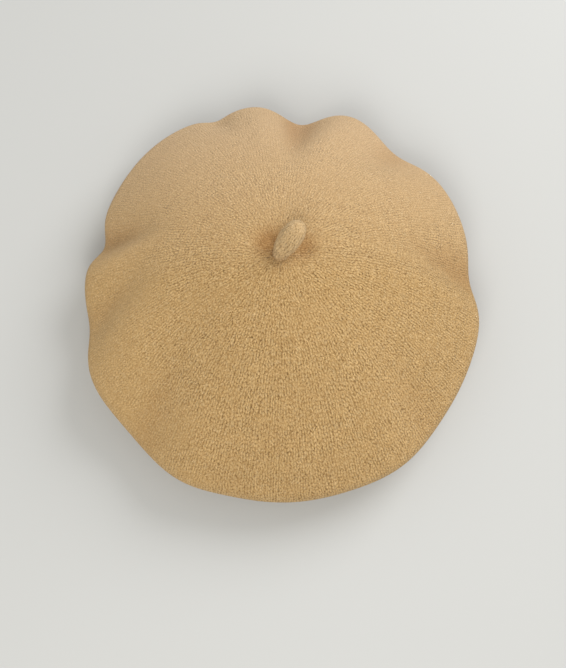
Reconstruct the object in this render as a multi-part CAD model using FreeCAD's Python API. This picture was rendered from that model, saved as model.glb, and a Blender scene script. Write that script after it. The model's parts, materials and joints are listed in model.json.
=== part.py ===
"""A stemmed wool beret, as worn: a soft felted crown that leans a little to the front, a
turned-in hem, a leather sweatband, a loose satin lining and a knitted stalk at the centre.

Millimetres, +Z up. The origin is the centre of the head opening, at the lower edge of the
sweatband. +Y is the front of the beret, -Y the back, where the ends of the sweatband meet.
Everything soft is built from horizontal circles, so a layer is described by its profile: a list
of (radius, height) points. The circles above the sweatband slide forward with the crown's lean.
"""

import FreeCAD, Part
import math
import os

Vector = FreeCAD.Vector
Z_AXIS = Vector(0, 0, 1)

# Head opening and sweatband
head_radius = 90.0
band_thickness = 1.4
band_height = 26.0
band_join_gap = 0.6
layer_gap = 0.2

# Felted crown
felt_thickness = 2.8
hem_height = 9.0
crown_overhang = 40.0
crown_height = 92.0
crown_lean = 14.0
edge_height = 27.0
edge_roll = 11.5
edge_slope_deg = 42.0
dimple_depth = 3.0
dimple_radius = 9.0

# Satin lining
lining_thickness = 0.5
lining_ease = 10.0
lining_flat_radius = 6.0
lining_seam_allowance = 4.0
lining_skirt_start = 1.5
lining_skirt_over_hem = 1.4

# Stalk, the wound yarn in its foot, and its knot inside the crown
stem_length = 28.0
stem_foot_radius = 4.4
stem_radius = 5.9
stem_lean_deg = 50.0
stem_lean_azimuth_deg = 48.0
stem_core_radius = 2.2
stem_hole_radius = 3.2
knot_neck_radius = 2.6
knot_radius = 5.0
knot_thickness = 2.4
moving_gap = 0.4

# Care label
label_width = 20.0
label_length = 15.0
label_thickness = 0.4
label_corner = 1.5
label_lean_deg = 95.0

# Thread and yarn
thread_radius = 0.3
yarn_radius = 0.5
hem_stitch_count = 72
hem_stitch_length = 4.6
hem_stitch_height = 5.0
thread_sink = 0.4
seam_stitch_count = 60
join_stitch_count = 4
join_stitch_width = 4.4
tack_stitch_count = 6
tack_stitch_length = 4.0
closing_stitch_count = 26
closing_stitch_length = 4.0
label_stitch_count = 5

# Tape behind the joint in the sweatband
tape_width = 14.0
tape_thickness = 0.4
tape_gap = 0.05
tape_end_margin = 2.5

# Places that follow from the sizes above
band_outer = head_radius + band_thickness
skirt_inner = band_outer + layer_gap
skirt_outer = skirt_inner + lining_thickness
hem_inner = skirt_outer + layer_gap
hem_middle = hem_inner + felt_thickness
roll_centre = head_radius + crown_overhang - edge_roll
seam_radius = roll_centre
seam_height = edge_height
lean_start = max(band_height + 2.0, edge_height)
lining_inset = felt_thickness + lining_ease
dimple_floor = crown_height - dimple_depth
knot_top = dimple_floor - felt_thickness - 2 * thread_radius - layer_gap
stem_pivot = Vector(0, crown_lean, dimple_floor + stem_foot_radius + moving_gap)
label_hinge = Vector(0, -(head_radius + band_thickness / 2), band_height + label_thickness)


def smooth(t):
    """Runs from 0 to 1 with level ends."""
    t = min(max(t, 0.0), 1.0)
    return t * t * (3 - 2 * t)


def lean_at(z):
    """How far forward the circle at this height has slid."""
    return crown_lean * smooth((z - lean_start) / (dimple_floor - lean_start))


def dome_height(radius, inset):
    """Height of the crown's top at a radius, for a layer that lies inset below the outer face."""
    slope = math.radians(edge_slope_deg)
    join_radius = roll_centre + (edge_roll - inset) * math.sin(slope)
    drop = crown_height - inset - (edge_height + (edge_roll - inset) * math.cos(slope))
    power = math.tan(slope) * join_radius / drop
    return crown_height - inset - drop * (radius / join_radius) ** power


def dimple(radius):
    return dimple_depth * math.exp(-((radius / dimple_radius) ** 2))


def inner_height(radius):
    """Height of the felt's inner face, under the dimple too."""
    return dome_height(radius, felt_thickness) - dimple(radius)


def dome_profile(inset, first_radius, dimpled, points=22):
    """The top, from first_radius out to where it meets the rolled edge."""
    last_radius = roll_centre + (edge_roll - inset) * math.sin(math.radians(edge_slope_deg))
    profile = []
    for i in range(points):
        radius = first_radius + (last_radius - first_radius) * (i / (points - 1)) ** 1.4
        height = dome_height(radius, inset)
        profile.append((radius, height - dimple(radius) if dimpled else height))
    return profile


def underside_angle():
    """Slope of the straight underside, which is tangent to the hem's fold and the rolled edge."""
    run = roll_centre - hem_middle
    rise = edge_height - felt_thickness
    return math.atan2(rise, run) - math.asin((edge_roll - felt_thickness) / math.hypot(run, rise))


def roll_profile(inset, points=9):
    """The rolled edge, from the top round to the underside."""
    first = 90.0 - edge_slope_deg
    last = math.degrees(underside_angle()) - 90.0
    radius = edge_roll - inset
    profile = []
    for i in range(1, points + 1):
        angle = math.radians(first + (last - first) * i / points)
        profile.append((roll_centre + radius * math.cos(angle), edge_height + radius * math.sin(angle)))
    return profile


def fold_profile(points=7):
    """The hem's fold, from the underside round to the upright inner leg."""
    first = math.degrees(underside_angle()) - 90.0
    profile = []
    for i in range(points + 1):
        angle = math.radians(first + (-180.0 - first) * i / points)
        profile.append(
            (hem_middle + felt_thickness * math.cos(angle), felt_thickness + felt_thickness * math.sin(angle))
        )
    return profile


def ring_face(profile):
    """The face that a profile sweeps through its circles: a smooth one, or straight between two points."""
    points = [Vector(radius, 0, height) for radius, height in profile]
    curve = Part.BSplineCurve()
    if len(points) == 2:
        curve.buildFromPolesMultsKnots(points, [2, 2], [0.0, 1.0], False, 1)
    else:
        curve.interpolate(points)
    corner = math.sqrt(0.5)
    square = [(1, 0), (1, 1), (0, 1), (-1, 1), (-1, 0), (-1, -1), (0, -1), (1, -1), (1, 0)]
    poles = []
    for pole in curve.getPoles():
        poles.append([Vector(pole.x * x, pole.x * y + lean_at(pole.z), pole.z) for x, y in square])
    weights = [[1.0 if x * y == 0 else corner for x, y in square] for _ in poles]
    surface = Part.BSplineSurface()
    surface.buildFromPolesMultsKnots(
        poles,
        curve.getMultiplicities(),
        [3, 2, 2, 2, 3],
        curve.getKnots(),
        [0.0, 0.25, 0.5, 0.75, 1.0],
        False,
        False,
        curve.Degree,
        2,
        weights,
    )
    return surface.toShape()


def disc_face(radius, height):
    """A flat disc that closes a layer at its centre."""
    circle = Part.Circle(Vector(0, lean_at(height), height), Z_AXIS, radius)
    return Part.Face(Part.Wire(circle.toShape()))


def closed_solid(faces):
    """Sews faces into one solid with its outside facing out."""
    shell = Part.makeShell(faces)
    shell.sewShape()
    solid = Part.makeSolid(shell)
    if solid.Volume < 0:
        solid.reverse()
    return solid


def between(inner, outer, low, high):
    """An upright ring."""
    base = Vector(0, 0, low)
    tube = Part.makeCylinder(outer, high - low, base)
    return tube.cut(Part.makeCylinder(inner, high - low, base))


def rod(start, end, radius):
    """A round thread or yarn from one point to another."""
    return Part.makeCylinder(radius, (end - start).Length, start, end - start)


def turned(shape, angle_deg, centre=Vector(0, 0, 0), axis=Z_AXIS):
    copy = shape.copy()
    copy.rotate(centre, axis, angle_deg)
    return copy


def around(shape, count, offset_deg=0.0, centre=Vector(0, 0, 0)):
    """Copies of a shape spaced evenly round an upright axis, as separate solids."""
    step = 360.0 / count
    return Part.makeCompound([turned(shape, offset_deg + i * step, centre) for i in range(count)])


def make_crown_felt():
    """One seamless shell: dome, rolled edge, underside and the hem that is folded up inside."""
    outer_top = dome_profile(0.0, stem_hole_radius, True) + roll_profile(0.0)
    inner_top = dome_profile(felt_thickness, stem_hole_radius, True) + roll_profile(felt_thickness)
    fold = fold_profile()
    hem_bottom = (hem_middle, felt_thickness)
    return closed_solid(
        [
            ring_face([inner_top[0], outer_top[0]]),
            ring_face(outer_top),
            ring_face([outer_top[-1], fold[0]]),
            ring_face(fold),
            ring_face([fold[-1], (hem_inner, hem_height)]),
            ring_face([(hem_inner, hem_height), (hem_middle, hem_height)]),
            ring_face([(hem_middle, hem_height), hem_bottom]),
            ring_face([hem_bottom, inner_top[-1]]),
            ring_face(inner_top),
        ]
    )


def make_closing_seam_yarn():
    """Short stitches across the line at the back where the knitted blank was joined."""
    half_width = Vector(closing_stitch_length / 2, 0, 0)
    first = 1.5 * dimple_radius
    last = roll_centre - edge_roll / 2
    stitches = []
    for i in range(closing_stitch_count):
        radius = first + (last - first) * i / (closing_stitch_count - 1)
        height = inner_height(radius)
        middle = Vector(0, lean_at(height) - radius, height)
        stitches.append(rod(middle - half_width, middle + half_width, yarn_radius))
    return Part.makeCompound(stitches)


def on_circle(radius, angle_deg):
    """A point of an upright section, on a circle round the section's own centre."""
    angle = math.radians(angle_deg)
    return Vector(radius * math.cos(angle), 0, radius * math.sin(angle))


def make_stem():
    """The stalk: a round socket at its foot, thicker towards a rounded tip, leaning on its pivot."""
    socket = stem_core_radius + moving_gap
    mouth_angle = -50
    tip = stem_length - stem_foot_radius
    shoulder = Vector(stem_radius, 0, tip - stem_radius)
    tip_centre = Vector(0, 0, tip - stem_radius)
    section = Part.Wire(
        [
            Part.makeLine(on_circle(socket, mouth_angle), on_circle(stem_foot_radius, mouth_angle)),
            Part.Arc(
                on_circle(stem_foot_radius, mouth_angle),
                on_circle(stem_foot_radius, mouth_angle / 2),
                on_circle(stem_foot_radius, 0),
            ).toShape(),
            Part.makeLine(on_circle(stem_foot_radius, 0), shoulder),
            Part.Arc(shoulder, tip_centre + on_circle(stem_radius, 45), Vector(0, 0, tip)).toShape(),
            Part.makeLine(Vector(0, 0, tip), Vector(0, 0, socket)),
            Part.Arc(Vector(0, 0, socket), on_circle(socket, 0), on_circle(socket, mouth_angle)).toShape(),
        ]
    )
    stalk = Part.Face(section).revolve(Vector(0, 0, 0), Z_AXIS, 360)
    stalk.translate(stem_pivot)
    azimuth = math.radians(stem_lean_azimuth_deg)
    return turned(stalk, stem_lean_deg, stem_pivot, Vector(-math.sin(azimuth), math.cos(azimuth), 0))


def make_stem_core_yarn():
    """The stalk's own yarn end, wound into a ball inside its foot."""
    return Part.makeSphere(stem_core_radius, stem_pivot)


def make_stem_knot():
    """The knot that holds the stalk: a neck up through the crown and a flat knot on the inside."""
    neck_top = stem_pivot.z - stem_foot_radius - moving_gap / 2
    knot_base = stem_pivot + Vector(0, 0, knot_top - knot_thickness - stem_pivot.z)
    knot = Part.makeCylinder(knot_radius, knot_thickness, knot_base)
    knot = knot.makeFillet(knot_thickness * 0.4, knot.Edges)
    neck_base = knot_base + Vector(0, 0, knot_thickness / 2)
    return knot.fuse(Part.makeCylinder(knot_neck_radius, neck_top - neck_base.z, neck_base))


def make_stem_tack_stitches():
    """Radial stitches on the inside that hold the crown gathered round the stalk's foot."""
    first = stem_hole_radius + 1.2
    last = first + tack_stitch_length
    start = Vector(first, crown_lean, inner_height(first) - thread_radius / 2)
    end = Vector(last, crown_lean, inner_height(last) - thread_radius / 2)
    return around(rod(start, end, thread_radius), tack_stitch_count, 0.0, Vector(0, crown_lean, 0))


def make_sweatband():
    """A leather strip whose ends butt together at the back."""
    ring = between(head_radius, band_outer, 0.0, band_height)
    slot = Part.makeBox(
        band_join_gap,
        band_thickness * 3,
        band_height * 2,
        Vector(-band_join_gap / 2, -band_outer - band_thickness, -band_height / 2),
    )
    return ring.cut(slot)


def make_sweatband_join_tape():
    """A strip that backs the joint in the sweatband, above the hem."""
    inner = band_outer + tape_gap
    low = hem_height + tape_end_margin
    high = band_height - tape_end_margin
    ring = between(inner, inner + tape_thickness, low, high)
    corner = Vector(-tape_width / 2, -inner - tape_width / 2, low)
    block = Part.makeBox(tape_width, tape_width, high - low, corner)
    return ring.common(block)


def make_sweatband_join_stitches():
    """A zigzag of thread across the joint in the sweatband, sunk into the leather."""
    radius = head_radius + thread_sink
    low = hem_height + tape_end_margin + thread_radius
    high = band_height - tape_end_margin - thread_radius
    step = (high - low) / (2 * join_stitch_count - 1)
    reach = join_stitch_width / 2
    stitches = []
    for i in range(join_stitch_count):
        start = Vector(-reach, -radius, low + 2 * i * step)
        end = Vector(reach, -radius, low + (2 * i + 1) * step)
        stitches.append(rod(start, end, thread_radius))
    return Part.makeCompound(stitches)


def make_sweatband_hem_stitches():
    """Loops of thread through the sweatband, the lining's skirt and the hem's inner leg."""
    near = head_radius + thread_sink
    far = hem_middle + thread_sink
    half = hem_stitch_length / 2
    corners = [
        Vector(near, -half, hem_stitch_height),
        Vector(near, half, hem_stitch_height),
        Vector(far, half, hem_stitch_height),
        Vector(far, -half, hem_stitch_height),
    ]
    sides = [rod(corners[i], corners[(i + 1) % 4], thread_radius) for i in range(4)]
    knuckles = [Part.makeSphere(thread_radius, corner) for corner in corners]
    loop = sides[0].multiFuse(sides[1:] + knuckles)
    return around(loop, hem_stitch_count, 90.0 + 180.0 / hem_stitch_count)


def lining_dome_profile(inset, edge):
    """The lining's slack dome, from its flat centre out to the seam's level margin."""
    points = 16
    margin = seam_radius - lining_seam_allowance
    drop = crown_height - inset - edge
    profile = []
    for i in range(points):
        share = i / (points - 1)
        radius = lining_flat_radius + (margin - lining_flat_radius) * share
        profile.append((radius, edge + drop * (1 - share**2.1)))
    return profile


def make_lining_tip():
    """The lining's top panel."""
    low_edge = seam_height + layer_gap / 2
    high_edge = low_edge + lining_thickness
    low = lining_dome_profile(lining_inset + lining_thickness, low_edge)
    high = lining_dome_profile(lining_inset, high_edge)
    return closed_solid(
        [
            disc_face(*low[0]),
            ring_face(low),
            ring_face([low[-1], (seam_radius, low_edge)]),
            ring_face([(seam_radius, low_edge), (seam_radius, high_edge)]),
            ring_face([(seam_radius, high_edge), high[-1]]),
            ring_face(high),
            disc_face(*high[0]),
        ]
    )


def make_lining_side():
    """The lining's lower panel: a skirt caught behind the sweatband, then a cone out to the seam."""
    margin = seam_radius - lining_seam_allowance
    bend = hem_height + lining_skirt_over_hem
    high_edge = seam_height - layer_gap / 2
    low_edge = high_edge - lining_thickness
    outline = [
        (skirt_inner, lining_skirt_start),
        (skirt_inner, bend),
        (margin, high_edge),
        (seam_radius, high_edge),
        (seam_radius, low_edge),
        (margin, low_edge),
        (skirt_outer, bend - lining_thickness / 2),
        (skirt_outer, lining_skirt_start),
    ]
    return closed_solid([ring_face([outline[i - 1], outline[i]]) for i in range(len(outline))])


def make_lining_seam_stitches():
    """Running stitches through the seam margins of both panels of the lining."""
    radius = seam_radius - lining_seam_allowance / 3
    reach = lining_thickness + layer_gap + thread_radius
    start = Vector(radius, 0, seam_height - reach)
    end = Vector(radius, 0, seam_height + reach)
    return around(rod(start, end, thread_radius), seam_stitch_count)


def make_care_label():
    """A blank folded tape, sewn to the upper edge of the sweatband and lying outwards."""
    plate = Part.makeBox(
        label_width,
        label_thickness,
        label_length,
        label_hinge + Vector(-label_width / 2, -label_thickness / 2, label_thickness / 2),
    )
    middle = label_hinge.z + label_length / 2
    corners = [edge for edge in plate.Edges if edge.CenterOfMass.z > middle and edge.Length < label_corner]
    return turned(plate.makeFillet(label_corner, corners), label_lean_deg, label_hinge, Vector(1, 0, 0))


def make_care_label_stitches():
    """Short stitches in the upper edge of the sweatband that hold the label's foot."""
    inset = label_corner + thread_radius
    pitch = (label_width - 2 * inset) / (label_stitch_count - 1)
    stitches = []
    for i in range(label_stitch_count):
        foot = Vector(-label_width / 2 + inset + i * pitch, label_hinge.y, band_height - inset)
        stitches.append(rod(foot, foot + Vector(0, 0, inset), thread_radius))
    return Part.makeCompound(stitches)


nodes = {
    "crown_felt": make_crown_felt,
    "closing_seam_yarn": make_closing_seam_yarn,
    "stem": make_stem,
    "stem_core_yarn": make_stem_core_yarn,
    "stem_knot": make_stem_knot,
    "stem_tack_stitches": make_stem_tack_stitches,
    "sweatband": make_sweatband,
    "sweatband_join_tape": make_sweatband_join_tape,
    "sweatband_join_stitches": make_sweatband_join_stitches,
    "sweatband_hem_stitches": make_sweatband_hem_stitches,
    "lining_tip": make_lining_tip,
    "lining_side": make_lining_side,
    "lining_seam_stitches": make_lining_seam_stitches,
    "care_label": make_care_label,
    "care_label_stitches": make_care_label_stitches,
}

os.makedirs("parts", exist_ok=True)
for name, make in nodes.items():
    shape = make()
    shape.exportStep(f"parts/{name}.step")
    box = shape.BoundBox
    print(f"{name}: {len(shape.Solids)} solids, {shape.Volume:.1f} mm3, valid {shape.isValid()}", end=", ")
    print(f"x {box.XMin:.1f} {box.XMax:.1f} y {box.YMin:.1f} {box.YMax:.1f} z {box.ZMin:.1f} {box.ZMax:.1f}")
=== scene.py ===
"""The looks of the stemmed beret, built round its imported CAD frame: a felted crown with soft folds,
a knitted stalk, a leather sweatband, a satin lining and a blank label. Metres, in the frame's axes:
+Z up, +Y the front, -Y the back, where the sweatband's ends meet."""

import json
import math

import bpy
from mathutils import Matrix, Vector, noise


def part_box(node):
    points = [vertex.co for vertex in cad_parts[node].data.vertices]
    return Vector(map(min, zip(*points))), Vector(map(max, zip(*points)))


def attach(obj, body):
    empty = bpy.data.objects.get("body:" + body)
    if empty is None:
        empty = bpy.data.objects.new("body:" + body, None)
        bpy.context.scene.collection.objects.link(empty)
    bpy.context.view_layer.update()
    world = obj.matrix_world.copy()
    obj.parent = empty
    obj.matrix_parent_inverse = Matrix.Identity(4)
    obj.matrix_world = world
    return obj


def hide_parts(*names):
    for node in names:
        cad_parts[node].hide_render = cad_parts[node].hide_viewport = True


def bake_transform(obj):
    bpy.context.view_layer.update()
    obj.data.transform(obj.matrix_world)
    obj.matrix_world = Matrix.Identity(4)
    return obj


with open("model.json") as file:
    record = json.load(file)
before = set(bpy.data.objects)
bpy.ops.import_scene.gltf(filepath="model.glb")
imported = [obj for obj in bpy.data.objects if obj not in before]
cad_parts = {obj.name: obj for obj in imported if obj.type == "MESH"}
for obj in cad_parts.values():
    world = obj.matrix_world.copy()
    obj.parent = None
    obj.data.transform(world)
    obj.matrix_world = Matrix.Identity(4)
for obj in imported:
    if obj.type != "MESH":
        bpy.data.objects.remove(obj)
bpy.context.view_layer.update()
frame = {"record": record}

MM = 0.001


# ---------------------------------------------------------------- sizes from the frame

joints = {joint["name"]: joint for joint in frame["record"]["behaviour"]["joints"]}
head_opening = frame["record"]["mounts"][0]
band_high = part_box("sweatband")[1]
crown_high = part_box("crown_felt")[1]
stem_pivot = Vector(joints["stem_nod"]["pos_m"])
label_hinge = Vector(joints["care_label_fold"]["pos_m"])

head_radius = head_opening["dims"]["r_mm"] * MM
band_outer = band_high[0]
band_height = band_high[2]
crown_radius = crown_high[0]
crown_lean = stem_pivot.y

# The dome's height before the dimple lowers its peak
crown_height = crown_high[2] + 0.9 * MM
dimple_depth = 3.0 * MM
dimple_radius = 9.0 * MM
dimple_floor = crown_height - dimple_depth
lean_start = band_height + 2.0 * MM

felt_thickness = 2.8 * MM
edge_roll = 11.5 * MM
edge_height = 27.0 * MM
edge_slope = math.radians(42.0)
roll_centre = crown_radius - edge_roll
stem_hole_radius = 3.2 * MM
hem_middle = band_outer + 3.7 * MM
hem_height = 9.0 * MM
thread_radius = 0.3 * MM

# The felted knit's stitches. Their number round a ring grows by this factor from band to band.
stitch_width = 1.65 * MM
stitch_length = 2.35 * MM
stitch_band_growth = 1.22


# ---------------------------------------------------------------- small helpers


def smooth(t):
    """Runs from 0 to 1 with level ends."""
    t = min(max(t, 0.0), 1.0)
    return t * t * (3 - 2 * t)


def lean_at(z):
    """How far forward the crown has slid at this height."""
    return crown_lean * smooth((z - lean_start) / (dimple_floor - lean_start))


def wrapped(degrees):
    """The same angle from -180 to 180."""
    return (degrees + 180.0) % 360.0 - 180.0


def bump_at(degrees, centre, width):
    """A smooth bump, 1 high, round an angle."""
    return math.exp(-((wrapped(degrees - centre) / width) ** 2))


def resample(points, step):
    """Points along a line of (radius, height) at about even steps."""
    lengths = [math.dist(a, b) for a, b in zip(points, points[1:])]
    count = max(1, round(sum(lengths) / step))
    result = []
    index, walked = 0, 0.0
    for i in range(count + 1):
        target = sum(lengths) * i / count
        while index < len(lengths) - 1 and walked + lengths[index] < target:
            walked += lengths[index]
            index += 1
        share = min(1.0, (target - walked) / lengths[index])
        (r0, z0), (r1, z1) = points[index], points[index + 1]
        result.append((r0 + (r1 - r0) * share, z0 + (z1 - z0) * share))
    return result


def add_mesh(name, vertices, faces):
    mesh = bpy.data.meshes.new(name)
    mesh.from_pydata(vertices, [], faces)
    mesh.polygons.foreach_set("use_smooth", [True] * len(mesh.polygons))
    mesh.update()
    piece = bpy.data.objects.new(name, mesh)
    bpy.context.scene.collection.objects.link(piece)
    return piece


def lathe(name, rows, columns, place, closed_section=False, open_ring=False, capped=False):
    """A mesh of rings. place(row, turn) gives a point, with turn from 0 to 1 round the ring.

    closed_section joins the last row to the first, open_ring leaves the ring's ends apart and
    closes them with caps, and capped closes the first and last rows.
    """
    across = columns + 1 if open_ring else columns
    vertices = [place(row, column / columns) for row in rows for column in range(across)]
    faces = []
    for j in range(len(rows) if closed_section else len(rows) - 1):
        k = (j + 1) % len(rows)
        for i in range(columns):
            n = (i + 1) % across
            faces.append((j * across + i, j * across + n, k * across + n, k * across + i))
    if open_ring and closed_section:
        faces.append(tuple(j * across for j in range(len(rows))))
        faces.append(tuple(j * across + columns for j in reversed(range(len(rows)))))
    if capped:
        faces.append(tuple(reversed(range(columns))))
        faces.append(tuple((len(rows) - 1) * across + i for i in range(columns)))
    return add_mesh(name, vertices, faces)


def add_threads(name, paths, reference, radius, closed=False):
    """Round threads along paths of points. reference(point) is a direction square to the path."""
    sides = 8
    vertices, faces = [], []
    for path in paths:
        first, count = len(vertices), len(path)
        for i, point in enumerate(path):
            before = path[i - 1] if closed or i > 0 else point
            after = path[(i + 1) % count] if closed or i < count - 1 else point
            side = (after - before).cross(reference(point)).normalized()
            other = (after - before).cross(side).normalized()
            for k in range(sides):
                angle = math.tau * k / sides
                vertices.append(point + (side * math.cos(angle) + other * math.sin(angle)) * radius)
        for i in range(count if closed else count - 1):
            near, far = first + i * sides, first + (i + 1) % count * sides
            for k in range(sides):
                n = (k + 1) % sides
                faces.append((near + k, near + n, far + n, far + k))
        if not closed:
            faces.append(tuple(first + k for k in reversed(range(sides))))
            faces.append(tuple(first + (count - 1) * sides + k for k in range(sides)))
    return add_mesh(name, vertices, faces)


def upright(_point):
    """Square to a level path."""
    return Vector((0.0, 0.0, 1.0))


def sideways(_point):
    """Square to a path across the back of the sweatband."""
    return Vector((1.0, 0.0, 0.0))


def outwards(point):
    """Square to a path that lies on the sweatband."""
    return Vector((point.x, point.y, 0.0)).normalized()


def add_stitch_maps(piece, rows, columns):
    """Texture maps that count stitches round each ring (u) and along the section (v).

    The number of stitches round a ring has to grow with its radius, so it jumps from band to band.
    Two maps have their jumps in different places, and the vertex attribute "fade" says how much
    the second one counts, so that neither shows its own jumps.
    """
    mesh = piece.data
    growth = math.log(stitch_band_growth)
    levels = [math.log(row["radius"] / stitch_width) / growth for row in rows]
    fade = []
    for level in levels:
        fade += [abs(2 * (level % 1.0) - 1)] * columns
    mesh.attributes.new("fade", "FLOAT", "POINT").data.foreach_set("value", fade)
    corners = {"knit_a": [], "knit_b": []}
    for j in range(len(mesh.polygons) // columns):
        k = (j + 1) % len(rows)
        middle = (levels[j] + levels[k]) / 2
        centres = {"knit_a": math.floor(middle) + 0.5, "knit_b": math.floor(middle + 0.5)}
        low, high = rows[j]["length"] / stitch_length, rows[j]["length_end"] / stitch_length
        for map_name, centre in centres.items():
            count = max(4, round(math.tau * stitch_band_growth**centre))
            for i in range(columns):
                left, right = count * i / columns, count * (i + 1) / columns
                corners[map_name] += [(left, low), (right, low), (right, high), (left, high)]
    for map_name, pairs in corners.items():
        # The corners of end caps, which no stitch crosses
        pairs += [(0.0, 0.0)] * (len(mesh.loops) - len(pairs))
        layer = mesh.uv_layers.new(name=map_name)
        layer.data.foreach_set("uv", [value for pair in pairs for value in pair])


def add_painted_shade(piece, painted_shade_shares):
    """A vertex attribute of painted shade: how deep in a hollow each vertex lies, where the wool is painted
    darker and browner as shade.
    """
    piece.data.attributes.new("hollow", "FLOAT", "POINT").data.foreach_set("value", painted_shade_shares)


def make_rows(points):
    """Rows for a ring mesh from (radius, height) points, with their length along the section."""
    rows, length = [], 0.0
    for i, (radius, height) in enumerate(points):
        step = math.dist(points[i], points[(i + 1) % len(points)])
        rows.append({"radius": radius, "height": height, "length": length, "length_end": length + step})
        length += step
    return rows


# ---------------------------------------------------------------- materials


class Graph:
    """A material's node graph, with short names for the nodes that are used here."""

    def __init__(self, name, **principled):
        self.material = bpy.data.materials.new(name)
        self.material.use_nodes = True
        self.nodes = self.material.node_tree.nodes
        self.links = self.material.node_tree.links
        self.shader = self.nodes["Principled BSDF"]
        for socket, value in principled.items():
            self.shader.inputs[socket.replace("_", " ")].default_value = value

    def put(self, value, socket):
        """Sets a socket to a number, or links another socket to it."""
        if isinstance(value, bpy.types.NodeSocket):
            self.links.new(value, socket)
        else:
            socket.default_value = value

    def math(self, operation, *values):
        node = self.nodes.new("ShaderNodeMath")
        node.operation = operation
        for value, socket in zip(values, node.inputs):
            self.put(value, socket)
        return node.outputs[0]

    def place(self):
        """Position on the object, in metres."""
        return self.nodes.new("ShaderNodeTexCoord").outputs["Object"]

    def uv(self, name):
        """A stitch map's u and v."""
        node = self.nodes.new("ShaderNodeUVMap")
        node.uv_map = name
        split = self.nodes.new("ShaderNodeSeparateXYZ")
        self.put(node.outputs[0], split.inputs[0])
        return split.outputs[0], split.outputs[1]

    def brushed_and_sheen(self):
        """How much the wool's pile is brushed up over its stitches, at the front and at the left. The
        front's share also sets where a paler painted sheen goes.
        """
        split = self.nodes.new("ShaderNodeSeparateXYZ")
        self.put(self.place(), split.inputs[0])
        front = self.span(split.outputs[1], 0.0, 110 * MM, 0.0, 0.8)
        left = self.span(split.outputs[0], -30 * MM, -110 * MM, 0.0, 0.8)
        return front, left

    def attribute(self, name):
        node = self.nodes.new("ShaderNodeAttribute")
        node.attribute_name = name
        return node.outputs["Fac"]

    def noise(self, size, detail=3.0, where=None, rough=0.5):
        """Noise from 0 to 1 whose lumps are about size metres across."""
        node = self.nodes.new("ShaderNodeTexNoise")
        self.put(where or self.place(), node.inputs["Vector"])
        node.inputs["Scale"].default_value = 1.0 / size
        node.inputs["Detail"].default_value = detail
        node.inputs["Roughness"].default_value = rough
        return node.outputs["Fac"]

    def join(self, x, y, z=0.0):
        node = self.nodes.new("ShaderNodeCombineXYZ")
        for value, socket in zip((x, y, z), node.inputs):
            self.put(value, socket)
        return node.outputs[0]

    def random(self, x, y):
        """A random number for each whole x and y."""
        node = self.nodes.new("ShaderNodeTexWhiteNoise")
        node.noise_dimensions = "2D"
        self.put(self.join(x, y), node.inputs["Vector"])
        return node.outputs["Value"]

    def span(self, value, low, high, to_low=0.0, to_high=1.0):
        """Maps a range onto another, held at its ends."""
        node = self.nodes.new("ShaderNodeMapRange")
        for number, socket in zip((value, low, high, to_low, to_high), node.inputs):
            self.put(number, socket)
        return node.outputs[0]

    def blend(self, share, first, second, kind="MIX"):
        """A colour between two colours, or with kind MULTIPLY the first one tinted by the second."""
        node = self.nodes.new("ShaderNodeMix")
        node.data_type = "RGBA"
        node.blend_type = kind
        self.put(share, node.inputs["Factor"])
        for value, socket in ((first, node.inputs[6]), (second, node.inputs[7])):
            self.put((*value, 1.0) if isinstance(value, tuple) else value, socket)
        return node.outputs[2]

    def relief(self, height, distance, strength=1.0, under=None):
        node = self.nodes.new("ShaderNodeBump")
        self.put(height, node.inputs["Height"])
        node.inputs["Distance"].default_value = distance
        node.inputs["Strength"].default_value = strength
        if under is not None:
            self.put(under, node.inputs["Normal"])
        return node.outputs[0]

    def finish(self, colour, normal=None, roughness=None):
        self.put(colour, self.shader.inputs["Base Color"])
        if normal is not None:
            self.put(normal, self.shader.inputs["Normal"])
        if roughness is not None:
            self.put(roughness, self.shader.inputs["Roughness"])
        return self.material


def stitch_grain(graph, map_name, wander):
    """Slanted grains in radial columns of one stitch map: 1 on a stitch, 0 in the gaps."""
    u, v = graph.uv(map_name)
    u = graph.math("ADD", u, graph.math("MULTIPLY", wander, 1.3))
    column = graph.math("FLOOR", u)
    across = graph.math("SUBTRACT", graph.math("FRACT", u), 0.5)
    v = graph.math("ADD", v, graph.random(column, 3.5))
    v = graph.math("ADD", v, graph.math("MULTIPLY", wander, 0.8))
    row = graph.math("FLOOR", v)
    along = graph.math("SUBTRACT", graph.math("FRACT", v), 0.5)
    side = graph.math("SUBTRACT", graph.math("MULTIPLY", graph.math("PINGPONG", column, 1.0), 0.5), 0.25)
    slant = graph.math("ADD", side, graph.math("SUBTRACT", graph.random(column, row), 0.5))
    shift = graph.span(graph.random(row, graph.math("ADD", column, 0.5)), 0.0, 1.0, -0.22, 0.22)
    across = graph.math("ADD", across, graph.math("MULTIPLY", along, graph.math("MULTIPLY", slant, 1.1)))
    width = graph.math("POWER", graph.math("DIVIDE", graph.math("ADD", across, shift), 0.3), 2.0)
    length = graph.math("POWER", graph.math("DIVIDE", along, 0.44), 2.0)
    size = graph.span(graph.random(row, column), 0.0, 1.0, 0.35, 1.0)
    grain = graph.math("EXPONENT", graph.math("MULTIPLY", graph.math("ADD", width, length), -1.0))
    return graph.math("MULTIPLY", grain, size)


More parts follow.
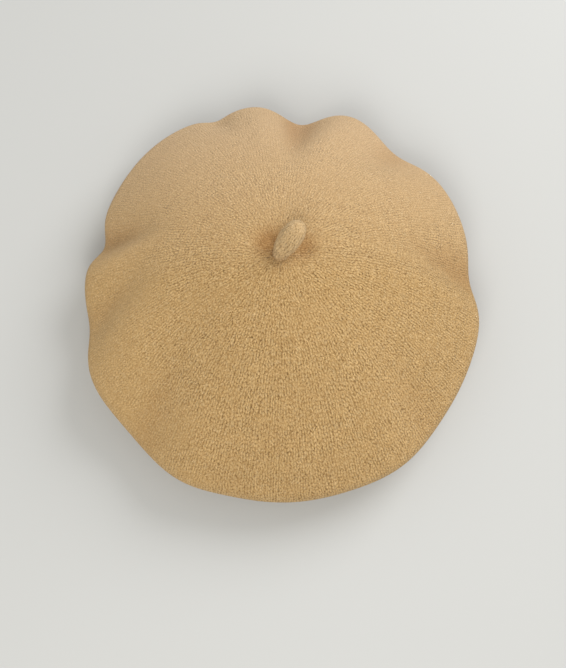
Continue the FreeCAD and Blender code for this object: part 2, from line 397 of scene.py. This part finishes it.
def felted_knit(name, gap, yarn, tip, relief):
    """Wool knit, felted: rice-grain stitches in rows, half hidden by fuzz, in mottled wool, with painted
    shade in hollows and a painted paler sheen towards the front.
    """
    graph = Graph(name, Roughness=0.95, Specular_IOR_Level=0.08, Sheen_Weight=0.25, Sheen_Roughness=0.5)
    graph.shader.inputs["Sheen Tint"].default_value = (1.0, 0.84, 0.6, 1.0)
    wander = graph.math("SUBTRACT", graph.noise(5 * MM, 2.0), 0.5)
    fade = graph.attribute("fade")
    first = graph.math("MULTIPLY", stitch_grain(graph, "knit_a", wander), graph.math("SUBTRACT", 1.0, fade))
    second = graph.math("MULTIPLY", stitch_grain(graph, "knit_b", wander), fade)
    grain = graph.math("ADD", first, second)
    fuzz = graph.noise(0.8 * MM, 3.0, rough=0.62)
    patch = graph.noise(26 * MM, 2.0)
    front, left = graph.brushed_and_sheen()
    worn = graph.math("ADD", graph.math("MAXIMUM", front, left), graph.span(patch, 0.3, 0.7, -0.25, 0.25))
    grain = graph.math("MULTIPLY", grain, graph.span(worn, 0.0, 1.0, 1.0, 0.45))
    height = graph.math("ADD", grain, graph.math("MULTIPLY", fuzz, 1.1))
    height = graph.math("ADD", height, graph.span(worn, 0.0, 1.0, 0.0, 0.22))
    deep = tuple(0.36 * value for value in gap)
    colour = graph.blend(graph.span(height, 0.38, 0.66), deep, gap)
    colour = graph.blend(graph.span(height, 0.48, 1.15), colour, yarn)
    colour = graph.blend(graph.span(graph.noise(1.6 * MM, 2.0), 0.5, 0.75, 0.0, 0.3), colour, tip)
    colour = graph.blend(graph.span(patch, 0.35, 0.7, 0.0, 0.16), colour, gap)
    # Painted sheen: towards the front the wool is blended to a paler, less saturated tone, as light
    # glancing off the fuzz looks.
    painted_sheen_tone = (0.80 * tip[0], 0.80 * tip[1], 1.02 * tip[2])
    colour = graph.blend(graph.math("MULTIPLY", front, 0.45), colour, painted_sheen_tone)
    # Painted shade: the wool is tinted darker and browner in the hollows beside the stalk's foot, in the
    # folds' valleys and at the stalk's foot.
    share = graph.span(graph.attribute("hollow"), 0.05, 1.0)
    colour = graph.blend(share, colour, (0.76, 0.66, 0.56), "MULTIPLY")
    return graph.finish(colour, graph.relief(height, relief))


def wool_yarn(name, shade):
    """Loose wool yarn, darker between its plies."""
    graph = Graph(name, Roughness=0.9, Specular_IOR_Level=0.2, Sheen_Weight=0.3)
    twist = graph.noise(0.5 * MM, 3.0)
    dark = tuple(0.6 * value for value in shade)
    colour = graph.blend(graph.span(twist, 0.3, 0.7), dark, shade)
    return graph.finish(colour, graph.relief(twist, 0.2 * MM))


def thread(name, shade):
    """Sewing thread with a fine twist and a little gloss."""
    graph = Graph(name, Roughness=0.55, Specular_IOR_Level=0.35)
    twist = graph.noise(0.25 * MM, 2.0)
    dark = tuple(0.55 * value for value in shade)
    colour = graph.blend(graph.span(twist, 0.35, 0.65), dark, shade)
    return graph.finish(colour, graph.relief(twist, 0.08 * MM))


def leather(name, base, crease):
    """Thin smooth leather: pebbled grain, darker creases and slight wear."""
    graph = Graph(name, Specular_IOR_Level=0.4, Coat_Weight=0.08, Coat_Roughness=0.45)
    cells = graph.nodes.new("ShaderNodeTexVoronoi")
    cells.feature = "DISTANCE_TO_EDGE"
    cells.inputs["Scale"].default_value = 1.0 / (0.62 * MM)
    graph.put(graph.place(), cells.inputs["Vector"])
    pebble = graph.span(cells.outputs["Distance"], 0.0, 0.3)
    cloud = graph.noise(9 * MM, 4.0)
    worn = tuple(1.5 * value for value in base)
    colour = graph.blend(graph.span(pebble, 0.0, 1.0, 0.45, 1.0), crease, base)
    colour = graph.blend(graph.span(cloud, 0.35, 0.7, 0.0, 0.35), colour, worn)
    roughness = graph.span(cloud, 0.3, 0.7, 0.42, 0.6)
    return graph.finish(colour, graph.relief(pebble, 0.05 * MM), roughness)


def satin(name, base):
    """Satin lining: fine floating threads, a soft gloss and faint creases."""
    graph = Graph(name, Roughness=0.3, Specular_IOR_Level=0.55, Sheen_Weight=0.1, Anisotropic=0.5)
    stretched = graph.nodes.new("ShaderNodeMapping")
    graph.put(graph.place(), stretched.inputs["Vector"])
    stretched.inputs["Scale"].default_value = (1.0, 0.1, 0.3)
    threads = graph.noise(0.16 * MM, 1.0, stretched.outputs[0])
    crease = graph.noise(14 * MM, 3.0, rough=0.45)
    dark = tuple(0.7 * value for value in base)
    colour = graph.blend(graph.span(threads, 0.3, 0.7, 0.0, 0.35), base, dark)
    colour = graph.blend(graph.span(crease, 0.35, 0.75, 0.0, 0.3), colour, dark)
    return graph.finish(colour, graph.relief(crease, 0.6 * MM, 0.6, graph.relief(threads, 0.012 * MM)))


def woven_tape(name, base, pitch):
    """A plain-weave tape."""
    graph = Graph(name, Roughness=0.8, Specular_IOR_Level=0.25, Sheen_Weight=0.15)
    split = graph.nodes.new("ShaderNodeSeparateXYZ")
    graph.put(graph.place(), split.inputs[0])
    waves = [graph.math("SINE", graph.math("MULTIPLY", split.outputs[i], math.tau / pitch)) for i in (0, 2)]
    weave = graph.math("MULTIPLY", waves[0], waves[1])
    dark = tuple(0.75 * value for value in base)
    colour = graph.blend(graph.span(weave, -1.0, 1.0), dark, base)
    colour = graph.blend(graph.span(graph.noise(5 * MM), 0.4, 0.8, 0.0, 0.25), colour, dark)
    return graph.finish(colour, graph.relief(weave, 0.08 * MM))


def dress(piece, material):
    """Gives a piece its material."""
    piece.data.materials.clear()
    piece.data.materials.append(material)


def dress_node(node, material):
    """Gives a carried-over CAD node its material."""
    piece = bpy.data.objects[node]
    piece.data.materials.clear()
    piece.data.materials.append(material)


# ---------------------------------------------------------------- crown

crown_columns = 448
crown_steps = 120
crown_inside_step = 6.0 * MM
felt_lump = 0.9 * MM
felt_lumps_per_metre = 26.0
pucker_count = 11
pucker_depth = 0.3 * MM
pucker_width = 6.0 * MM

# Depths at which the painted shade in a hollow is as dark and brown as it gets, and how much painted shade
# a fold's valley gets beside that
foot_hollow_shade_full = 2.6 * MM
fold_valley_shade_full = 9.0 * MM
fold_valley_shade_share = 0.75

# Soft folds of the worn crown. Each runs out to the edge at an angle (degrees from +X towards +Y)
# and has a half width there, an outward push and a lift at the edge (mm), the distance from the
# centre where it begins (mm), and how far it turns on its way in (degrees).
crown_folds = [
    (6, 9, -4.0, -7.5, 48, 10),
    (-8, 11, 0.5, 4.0, 40, 30),
    (34, 12, 2.0, 2.0, 60, 0),
    (52, 8, -2.5, -5.0, 78, 0),
    (69, 9, 4.0, 3.5, 66, 4),
    (84, 7, -4.5, -10.0, 50, 0),
    (98, 8, 2.5, 4.0, 66, -4),
    (110, 4, -1.5, -4.0, 98, 0),
    (126, 22, 6.0, 2.0, 60, 0),
    (163, 6, -6.0, -7.0, 66, -6),
    (173, 7, -0.5, 5.0, 60, -22),
    (189, 8, -3.0, -5.0, 70, -26),
    (205, 13, 4.0, 4.0, 56, -10),
    (227, 10, 1.0, -4.5, 44, -16),
    (241, 12, 4.5, 2.0, 70, 0),
    (272, 26, 2.5, 0.0, 60, 0),
    (305, 14, 3.5, 1.5, 60, 0),
    (318, 10, 0.0, -4.0, 56, 8),
]


def dome_height(radius, inset):
    """Height of the crown's top at a radius, for a layer inset below the outer face."""
    join_radius = roll_centre + (edge_roll - inset) * math.sin(edge_slope)
    drop = crown_height - inset - (edge_height + (edge_roll - inset) * math.cos(edge_slope))
    power = math.tan(edge_slope) * join_radius / drop
    return crown_height - inset - drop * (radius / join_radius) ** power


def underside_angle():
    """Slope of the underside, which is a tangent from the edge roll down to the hem's fold."""
    run = roll_centre - hem_middle
    rise = edge_height - felt_thickness
    return math.atan2(rise, run) - math.asin((edge_roll - felt_thickness) / math.hypot(run, rise))


def arc(centre, radius, first, last, count):
    """Points on a circle, angles in radians."""
    points = []
    for i in range(count + 1):
        angle = first + (last - first) * i / count
        points.append((centre[0] + radius * math.cos(angle), centre[1] + radius * math.sin(angle)))
    return points


def crown_outline(inset):
    """A layer's section from the stalk out over the edge and in along the underside."""
    last_radius = roll_centre + (edge_roll - inset) * math.sin(edge_slope)
    top = []
    for i in range(crown_steps):
        radius = stem_hole_radius + (last_radius - stem_hole_radius) * i / crown_steps
        top.append((radius, dome_height(radius, inset)))
    high, low = math.pi / 2 - edge_slope, underside_angle() - math.pi / 2
    return top + arc((roll_centre, edge_height), edge_roll - inset, high, low, count=20)


def crown_rows():
    """Rows of the closed section: outside, hem fold, hem leg and back along the inside."""
    low = underside_angle() - math.pi / 2
    fold = arc((hem_middle, felt_thickness), felt_thickness, low, -math.pi, count=12)
    leg = [(hem_middle - felt_thickness, hem_height)]
    outside = resample(crown_outline(0.0) + fold + leg, stitch_length / 2)
    # Over the leg's upper edge and down between the hem's two layers
    inside = [(hem_middle - 0.2 * MM, hem_height), (hem_middle - 0.1 * MM, felt_thickness)]
    inside += resample(crown_outline(felt_thickness), crown_inside_step)[::-1]
    return make_rows(outside + inside)


def edge_share(height):
    """1 on the rolled edge, falling to 0 at the hem on the underside."""
    if height < edge_height:
        return smooth((height - 2 * MM) / (0.8 * edge_height))
    return 1.0


def crown_offset(radius, height, turn):
    """How far the folds move a point of the crown: outwards and up."""
    degrees = 360.0 * turn
    out, up = 0.0, 0.0
    reach_out = roll_centre + 0.5 * edge_roll
    for angle, width, push, lift, start, sweep in crown_folds:
        share = smooth((radius - start * MM) / (reach_out - start * MM))
        centre = angle + sweep * (1 - min(1.0, radius / reach_out))
        size = bump_at(degrees, centre, width) * share * edge_share(height)
        out += push * MM * size
        up += lift * MM * size
    return out, up


# Hollows beside the stalk's foot: angle (degrees), then distance from the centre, half width and
# depth (mm)
foot_hollows = [(141, 10.5, 8.0, 3.2), (16, 14.0, 7.5, 2.6), (95, 13, 9, 0.5)]


def foot_hollow(radius, turn):
    """How deep the hollows beside the stalk's foot are at a point."""
    angle = math.tau * turn
    depth = 0.0
    for hollow_angle, distance, width, deep in foot_hollows:
        way = math.radians(hollow_angle)
        x = radius * math.cos(angle) - distance * MM * math.cos(way)
        y = radius * math.sin(angle) - distance * MM * math.sin(way)
        depth += deep * MM * math.exp(-(x * x + y * y) / (width * MM) ** 2)
    return depth


def dimple(radius, turn):
    """The puckered hollow round the stalk's foot."""
    depth = dimple_depth * math.exp(-((radius / dimple_radius) ** 2)) + foot_hollow(radius, turn)
    ring = math.exp(-(((radius - dimple_radius) / pucker_width) ** 2))
    return depth + pucker_depth * ring * math.cos(math.tau * pucker_count * turn + 0.7)


def crown_place(row, turn):
    """A point of the crown: folded, leaning forward, dimpled, and a little lumpy as felt is."""
    radius, height = row["radius"], row["height"]
    angle = math.tau * turn
    out, up = crown_offset(radius, height, turn)
    if height > edge_height:
        up -= dimple(radius, turn)
    side = Vector((math.cos(angle), math.sin(angle), 0.0))
    slack = felt_lump * edge_share(height) * smooth(radius / (60 * MM))
    lump = noise.noise(side * (radius * felt_lumps_per_metre) + Vector((0, 0, 3.1))) * slack
    return side * (radius + out) + Vector((0.0, lean_at(height), height + up + lump))


def hollow_shade_share(row, turn):
    """Painted shade: 1 in the hollows beside the stalk's foot, and less in the folds' valleys."""
    up = crown_offset(row["radius"], row["height"], turn)[1]
    valley = fold_valley_shade_share * smooth(-up / fold_valley_shade_full)
    return foot_hollow(row["radius"], turn) / foot_hollow_shade_full + valley


def make_crown():
    rows = crown_rows()
    crown = lathe("crown_shell", rows, crown_columns, crown_place, closed_section=True)
    add_stitch_maps(crown, rows, crown_columns)
    turns = [column / crown_columns for column in range(crown_columns)]
    add_painted_shade(crown, [hollow_shade_share(row, turn) for row in rows for turn in turns])
    dress(crown, camel_knit)
    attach(crown, "beret")
    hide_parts("crown_felt")


# ---------------------------------------------------------------- stalk

stem_columns = 36
stem_azimuth = math.radians(48.0)
stem_lean = math.radians(50.0)
stem_level = Vector((math.cos(stem_azimuth), math.sin(stem_azimuth), 0.0))
stem_way = stem_level * math.sin(stem_lean) + Vector((0.0, 0.0, math.cos(stem_lean)))
stem_sunk = 0.8 * MM
stem_elbow = 5.5 * MM
stem_join = 5.0 * MM
stem_step = 0.7 * MM
stem_ribs = 12
stem_rib_height = 0.22 * MM
stem_lump = 0.35 * MM

# Distance along the stalk from the crown, and its half thickness there (mm)
stem_outline = [
    (0, 5.6),
    (1.0, 5.1),
    (2.6, 5.0),
    (4.6, 5.4),
    (9, 6.5),
    (14, 7.1),
    (18, 7.1),
    (21.5, 6.6),
    (24.2, 5.6),
    (26.4, 4.2),
    (27.8, 2.6),
    (28.3, 1.5),
    (28.4, 0.5),
]


def stem_axis(distance):
    """Point and direction of the stalk's middle line: upright out of the crown, then bent over."""
    foot = Vector((0.0, crown_lean, dimple_floor - stem_sunk))
    after = stem_pivot + stem_way * stem_elbow
    first, second = stem_pivot - foot, after - stem_pivot
    # The curve is a little shorter than the two straight runs that it rounds off
    bend = (first.length + second.length) * 0.93
    if distance < bend:
        t = distance / bend
        point = foot * (1 - t) ** 2 + stem_pivot * (2 * t * (1 - t)) + after * t**2
        return point, (first * (1 - t) + second * t).normalized()
    return after + stem_way * (distance - bend), stem_way


def stem_radius_at(distance):
    """Half thickness, in straight runs between the outline's points."""
    distance /= MM
    for (d0, r0), (d1, r1) in zip(stem_outline, stem_outline[1:]):
        if distance <= d1:
            return (r0 + (r1 - r0) * max(0.0, distance - d0) / (d1 - d0)) * MM
    return stem_outline[-1][1] * MM


def stem_place(row, turn):
    """A point of the stalk, whose knitted ribs wind a little. The row's height runs along it."""
    centre, way = stem_axis(row["height"])
    side = Vector((-math.sin(stem_azimuth), math.cos(stem_azimuth), 0.0))
    front = side.cross(way).normalized()
    angle = math.tau * turn
    out = side * math.cos(angle) + front * math.sin(angle)
    rib = stem_rib_height * math.cos(stem_ribs * angle + 1.4 * math.sin(row["height"] / MM * 0.9))
    lump = stem_lump * noise.noise(out * 1.7 + Vector((0, 0, row["height"] * 160)))
    rounding = min(1.0, row["radius"] / (4 * MM))
    return centre + out * (row["radius"] + (rib + lump) * rounding)


def make_stem_part(name, start, end):
    """A length of the stalk, closed at both ends."""
    count = max(4, round((end - start) / stem_step))
    points = [start + (end - start) * i / count for i in range(count + 1)]
    rows = make_rows([(stem_radius_at(distance), distance) for distance in points])
    part = lathe(name, rows, stem_columns, stem_place, capped=True)
    add_stitch_maps(part, rows, stem_columns)
    # Painted shade at the stalk's foot, darkest where it leaves the crown
    painted_shade_shares = []
    for row in rows:
        painted_shade_shares += [0.6 * smooth(1 - row["height"] / (4 * MM))] * stem_columns
    add_painted_shade(part, painted_shade_shares)
    dress(part, camel_stem_knit_painted_light)
    return part


def make_stem():
    """The gathered collar and the stalk above it, made as two pieces."""
    collar = make_stem_part("stem_collar", 0.0, stem_join)
    stalk = make_stem_part("stem_stalk", stem_join, stem_outline[-1][0] * MM)
    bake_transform(collar)
    centre, way = stem_axis(stem_join)
    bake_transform(stalk)
    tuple(centre)
    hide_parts("stem")


# ---------------------------------------------------------------- sweatband

hem_stitch_count = 72
hem_stitch_length = 4.6 * MM
hem_stitch_height = 5.0 * MM
hem_stitch_points = 28
hem_stitch_squareness = 0.4
band_columns = 6 * hem_stitch_count
band_gap = 0.6 * MM
band_bevel = 0.45 * MM


def round_the_back(radius, turn, height):
    """A point of the sweatband, which runs round from one side of its butt joint to the other."""
    margin = band_gap / 2 / radius
    angle = -math.pi / 2 + margin + (math.tau - 2 * margin) * turn
    return Vector((radius * math.cos(angle), radius * math.sin(angle), height))


def band_place(row, turn):
    """Leather that is drawn in by its stitches, puffs between them and waves a little at its top."""
    radius, height = row["radius"], row["height"]
    near_stitches = math.exp(-(((height - hem_stitch_height) / (1.6 * MM)) ** 2))
    pulled = 0.22 * MM * near_stitches * (0.5 + 0.5 * math.cos(math.tau * hem_stitch_count * (turn - 0.5)))
    crease = 0.25 * MM * math.exp(-(((height - (band_height - 2.4 * MM)) / (0.5 * MM)) ** 2))
    inside = smooth((band_outer - radius) / (band_outer - head_radius))
    circle = round_the_back(1.0, turn, 0.0)
    wave = 0.9 * MM * smooth(height / band_height) * (0.45 + 0.5 * noise.noise(circle * 2.3))
    away_from_joint = smooth(min(turn, 1 - turn) / 0.03)
    return round_the_back(radius + (pulled + crease) * inside - wave * away_from_joint, turn, height)


def make_sweatband():
    """A thin leather strip with rounded edges and a pressed line below its upper edge."""
    low, high = band_bevel, band_height - band_bevel
    inner, outer = head_radius + band_bevel, band_outer - band_bevel
    section = arc((inner, low), band_bevel, -math.pi / 2, -math.pi, 4)[:-1]
    section += resample([(head_radius, low), (head_radius, high)], 0.7 * MM)
    section += arc((inner, high), band_bevel, math.pi, math.pi / 2, 4)[1:]
    section += arc((outer, high), band_bevel, math.pi / 2, 0, 4)
    section += arc((outer, low), band_bevel, 0, -math.pi / 2, 4)
    rows = make_rows(section)
    band = lathe("sweatband_leather", rows, band_columns, band_place, closed_section=True, open_ring=True)
    dress(band, brown_leather)
    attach(band, "beret")
    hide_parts("sweatband")


def squared(value):
    """A sine or cosine drawn towards -1 and 1, which turns a circle into a rounded square."""
    return math.copysign(abs(value) ** hem_stitch_squareness, value)


def make_hem_stitches():
    """Loops through sweatband, lining and hem. Each shows as a short stitch on the leather."""
    near = head_radius - 0.02 * MM
    far = hem_middle + 0.4 * MM
    paths = []
    for i in range(hem_stitch_count):
        angle = math.tau * (i + 0.5) / hem_stitch_count + math.pi / 2
        out = Vector((math.cos(angle), math.sin(angle), 0.0))
        along = Vector((-math.sin(angle), math.cos(angle), 0.0))
        middle = out * ((near + far) / 2) + Vector((0.0, 0.0, hem_stitch_height))
        path = []
        for k in range(hem_stitch_points):
            turn = math.tau * k / hem_stitch_points
            wide = squared(math.cos(turn)) * hem_stitch_length / 2
            deep = squared(math.sin(turn)) * (far - near) / 2
            path.append(middle + out * deep + along * wide)
        paths.append(path)
    row = add_threads("hem_stitch_row", paths, upright, thread_radius, closed=True)
    dress(row, sewing_thread)
    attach(row, "beret")
    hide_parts("sweatband_hem_stitches")


def make_join_stitches():
    """A zigzag across the butt joint at the back."""
    low, high = 11.8 * MM, 23.2 * MM
    runs, steps, reach = 7, 8, 2.2 * MM
    path = []
    for i in range(runs):
        for k in range(steps):
            share = k / steps
            x = reach * (2 * share - 1) * (1 if i % 2 == 0 else -1)
            proud = 0.1 * MM * math.sin(math.pi * share)
            path.append(Vector((x, -(head_radius - proud), low + (high - low) * (i + share) / runs)))
    zigzag = add_threads("join_zigzag", [path], outwards, thread_radius)
    dress(zigzag, sewing_thread)
    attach(zigzag, "beret")
    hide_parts("sweatband_join_stitches")


# ---------------------------------------------------------------- lining

lining_columns = 480
lining_thickness = 0.5 * MM
lining_ease = 10.0 * MM
lining_margin = 4.0 * MM
tip_steps = 70
tip_gathers = 60
side_gathers = 66
skirt_bend = hem_height + 1.4 * MM

# The seam that joins the two panels lies inside the crown's edge roll
seam_radius = roll_centre
seam_start = seam_radius - lining_margin


def make_lining_tip():
    """The lining's top panel: a flat disc of satin, gathered all round into its seam."""
    edge = edge_height + 0.1 * MM
    level_radius = 6 * MM
    drop = crown_height - felt_thickness - lining_ease - lining_thickness - edge
    top = []
    for i in range(tip_steps):
        radius = max(0.3 * MM, seam_start * i / (tip_steps - 1))
        share = max(0.0, (radius - level_radius) / (seam_start - level_radius))
        top.append((radius, edge + drop * (1 - share**2.1)))
    top.append((seam_radius, edge))
    rows = make_rows([(r, z + lining_thickness) for r, z in top] + top[::-1])

    def place(row, turn):
        radius, height = row["radius"], row["height"]
        angle = math.tau * turn
        side = Vector((math.cos(angle), math.sin(angle), 0.0))
        reach = smooth((radius - 40 * MM) / (60 * MM)) * smooth((seam_start - radius) / (3 * MM))
        wander = 2.2 * noise.noise(side * 2.7)
        size = 0.7 + 0.5 * noise.noise(side * 9 + Vector((4, 0, 0)))
        pleat = 1.3 * MM * size * reach * math.cos(tip_gathers * angle + wander)
        loose = 3.0 * MM * smooth((seam_start - radius) / (40 * MM))
        slack = loose * noise.noise(side * (radius * 14) + Vector((0, 0, 8)))
        return side * radius + Vector((0.0, lean_at(height), height + pleat + slack))

    tip = lathe("lining_tip_satin", rows, lining_columns, place, capped=True)
    dress(tip, satin_cloth)
    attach(tip, "beret")
    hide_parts("lining_tip")


def make_lining_side():
    """The lining's lower panel: a long strip, gathered where it is caught behind the sweatband."""
    skirt = band_outer + 0.2 * MM
    back = skirt + lining_thickness
    low, high = 1.5 * MM, edge_height - 0.1 * MM
    inner = [(skirt, low), (skirt, skirt_bend), (seam_start, high), (seam_radius, high)]
    outer = [(back, low), (back, skirt_bend - lining_thickness / 2)]
    outer += [(seam_start, high - lining_thickness), (seam_radius, high - lining_thickness)]
    strip_width = sum(math.dist(a, b) for a, b in zip(inner, inner[1:]))
    rows = make_rows(resample(inner, 1.5 * MM) + resample(outer, 1.5 * MM)[::-1])

    def place(row, turn):
        radius, height = row["radius"], row["height"]
        angle = math.tau * turn
        side = Vector((math.cos(angle), math.sin(angle), 0.0))
        reach = smooth((radius - skirt - 1.5 * MM) / (5 * MM))
        reach *= smooth((seam_start - radius) / (16 * MM))
        pleat = 1.2 * MM * reach * math.cos(side_gathers * angle + 2.0 * noise.noise(side * 3.1))
        return side * (radius - 0.6 * pleat) + Vector((0.0, 0.0, height + 0.8 * pleat))

    panel = lathe("lining_side_satin", rows, lining_columns, place, closed_section=True)
    dress(panel, satin_cloth)
    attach(panel, "beret")
    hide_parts("lining_side")


# ---------------------------------------------------------------- care label

label_width = 20.0 * MM
label_length = 15.0 * MM
label_lean = math.radians(95.0)
label_way = Vector((0.0, -math.sin(label_lean), math.cos(label_lean)))
label_droop = 1.3 * MM
label_cup = 1.6 * MM
label_stitch_count = 5
label_thread_radius = 0.2 * MM


def label_place(row, turn):
    """A point of the tape: radius is the distance from its sewn foot, height its place in the fold."""
    distance, offset = row["radius"], row["height"]
    across, share = turn - 0.5, distance / label_length
    curl = label_cup * across**2 * share - label_droop * share**2
    right = Vector((1.0, 0.0, 0.0))
    normal = label_way.cross(right)
    return label_hinge + right * (across * label_width) + label_way * distance + normal * (offset + curl)


def make_care_label():
    """A blank tape, folded over at its free end."""
    half, fold = 0.08 * MM, 0.11 * MM
    first, last = 0.25 * MM, label_length - 0.3 * MM
    line = resample([(first, fold), (last, fold)], 1.2 * MM)
    line += arc((last, 0.0), fold, math.pi / 3, -math.pi / 3, 4)
    line += resample([(last, -fold), (first, -fold)], 1.2 * MM)
    sides = {half: [], -half: []}
    for i, point in enumerate(line):
        before, after = line[max(0, i - 1)], line[min(len(line) - 1, i + 1)]
        length = math.dist(before, after)
        square = ((after[1] - before[1]) / length, (before[0] - after[0]) / length)
        for offset in sides:
            sides[offset].append((point[0] - square[0] * offset, point[1] - square[1] * offset))
    rows = make_rows(sides[half] + sides[-half][::-1])
    label = lathe("care_label_tape", rows, 16, label_place, closed_section=True, open_ring=True)
    dress(label, label_tape)
    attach(label, "care_label")
    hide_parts("care_label")


def make_label_stitches():
    """Stitches over the sweatband's upper edge that hold the label's foot."""
    half_row = label_width / 2 - 1.8 * MM
    near, far = head_radius - 0.15 * MM, band_outer + 0.15 * MM
    low, top = band_height - 1.8 * MM, band_height - 0.9 * MM
    outline = [(near + 0.5 * MM, low), (near, low + 0.2 * MM)]
    outline += arc(((near + far) / 2, top), (far - near) / 2, math.pi, 0, 8)
    outline += [(far, low + 0.2 * MM), (far - 0.5 * MM, low)]
    paths = []
    for i in range(label_stitch_count):
        angle = half_row * (2 * i / (label_stitch_count - 1) - 1) / head_radius
        paths.append([Vector((r * math.sin(angle), -r * math.cos(angle), height)) for r, height in outline])
    row = add_threads("label_stitch_row", paths, sideways, label_thread_radius)
    dress(row, sewing_thread)
    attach(row, "beret")
    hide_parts("care_label_stitches")


# ---------------------------------------------------------------- stage, light and camera

crown_centre = Vector((0.0, 0.01, 0.05))
camera_target = Vector((0.001, -0.027, 0.045))
camera_elevation = math.radians(78.5)
camera_distance = 0.68
camera_lens = 67.8
floor_half = 6.0


def make_stage():
    corners = [(x * floor_half, y * floor_half, 0.0) for x, y in ((-1, -1), (1, -1), (1, 1), (-1, 1))]
    floor = add_mesh("floor", corners, [(0, 1, 2, 3)])
    floor.location.z = -0.3 * MM
    paper = Graph("pale_paper", Roughness=0.9, Specular_IOR_Level=0.1)
    tone = paper.blend(paper.noise(0.6, 2.0), (0.515, 0.518, 0.50), (0.555, 0.56, 0.545))
    floor.data.materials.append(paper.finish(tone))


def add_light(name, place, size, power, tint):
    """A round soft light that faces the beret."""
    light = bpy.data.lights.new(name, "AREA")
    light.shape = "DISK"
    light.size = size
    light.energy = power
    light.color = tint
    lamp = bpy.data.objects.new(name, light)
    lamp.location = place
    lamp.rotation_euler = (crown_centre - Vector(place)).to_track_quat("-Z", "Y").to_euler()
    bpy.context.scene.collection.objects.link(lamp)


def make_light():
    world = bpy.data.worlds.new("studio")
    world.use_nodes = True
    world.node_tree.nodes["Background"].inputs[0].default_value = (1.0, 0.99, 0.965, 1.0)
    world.node_tree.nodes["Background"].inputs[1].default_value = 0.6
    bpy.context.scene.world = world
    add_light("window", (0.75, 0.7, 0.85), 0.9, 12.5, (0.98, 0.98, 1.0))
    add_light("ceiling", (-0.15, -0.8, 1.1), 0.8, 8.5, (1.0, 0.98, 0.95))


def make_camera():
    """Looks down from behind, as the beret is seen on a head that bows towards the viewer."""
    back = Vector((0.0, -math.cos(camera_elevation), math.sin(camera_elevation)))
    camera = bpy.data.objects.new("camera", bpy.data.cameras.new("camera"))
    camera.location = camera_target + back * camera_distance
    camera.rotation_euler = (math.pi / 2 - camera_elevation, 0.0, 0.0)
    camera.data.sensor_fit = "HORIZONTAL"
    camera.data.lens = camera_lens
    bpy.context.scene.collection.objects.link(camera)
    bpy.context.scene.camera = camera


# ---------------------------------------------------------------- the beret

camel_knit = felted_knit(
    "felted_camel_knit",
    gap=(0.36, 0.205, 0.07),
    yarn=(0.69, 0.46, 0.205),
    tip=(0.82, 0.615, 0.35),
    relief=0.95 * MM,
)
# The stalk's knit: a lighter copy of the crown's, painted lighter to make up for the shade the stalk gets
# from the lamps
camel_stem_knit_painted_light = felted_knit(
    "camel_stem_knit_painted_light",
    gap=(0.44, 0.27, 0.11),
    yarn=(0.76, 0.53, 0.265),
    tip=(0.86, 0.68, 0.41),
    relief=0.9 * MM,
)
camel_yarn = wool_yarn("twisted_camel_yarn", (0.55, 0.35, 0.16))
sewing_thread = thread("twisted_thread", (0.50, 0.33, 0.17))
brown_leather = leather("grained_leather", (0.19, 0.085, 0.036), (0.075, 0.032, 0.014))
satin_cloth = satin("lining_satin", (0.42, 0.27, 0.14))
cotton_tape = woven_tape("woven_cotton", (0.40, 0.26, 0.14), 1.1 * MM)
label_tape = woven_tape("woven_label", (0.80, 0.77, 0.70), 0.7 * MM)

make_crown()
make_stem()
make_sweatband()
make_hem_stitches()
make_join_stitches()
make_lining_tip()
make_lining_side()
make_care_label()
make_label_stitches()
for node in ("closing_seam_yarn", "stem_core_yarn", "stem_knot"):
    dress_node(node, camel_yarn)
for node in ("stem_tack_stitches", "lining_seam_stitches"):
    dress_node(node, sewing_thread)
dress_node("sweatband_join_tape", cotton_tape)
make_stage()
make_light()
make_camera()
bpy.context.scene.view_settings.view_transform = "Standard"
